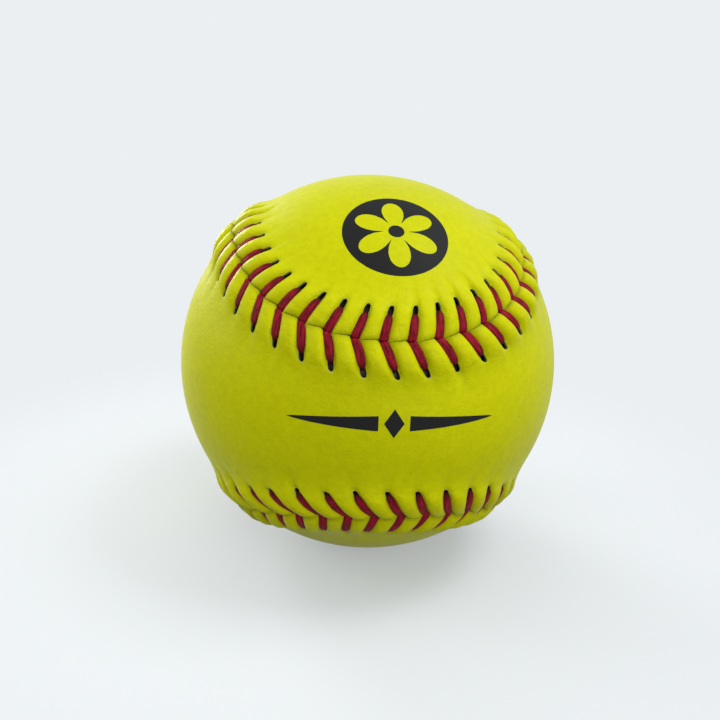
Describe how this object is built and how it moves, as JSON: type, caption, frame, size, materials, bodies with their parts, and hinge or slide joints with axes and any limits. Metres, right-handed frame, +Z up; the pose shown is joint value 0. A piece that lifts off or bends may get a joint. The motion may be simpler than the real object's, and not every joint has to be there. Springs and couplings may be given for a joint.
{
  "type": "softball",
  "caption": "Large hide-covered ball for bat-and-ball games, with two interlocking yellow panels sewn with raised red stitches over a moulded core.",
  "frame": {"origin": "centre of the ball", "axes": "+Z up, away from the floor the ball rests on; -Y towards the middle of the front panel's level waist; +Y towards the middle of the back panel's upright waist; +X to the right as seen from the front"},
  "size_m": [0.096, 0.0964, 0.096],
  "materials": {
    "core_foam": "moulded polyurethane, dull, with a fine skin",
    "dried_cement": "brushed-on latex cement, dried to a thin matt skin",
    "yellow_leather": "drum-dyed optic yellow cowhide, smooth fine grain, low sheen",
    "red_thread": "flat waxed polyester thread, low sheen"
  },
  "bodies": {
    "root": {"core": "core_foam", "cement_coat": "dried_cement", "front_panel": "yellow_leather", "back_panel": "yellow_leather", "first_thread": "red_thread", "second_thread": "red_thread"}
  },
  "joints": []
}
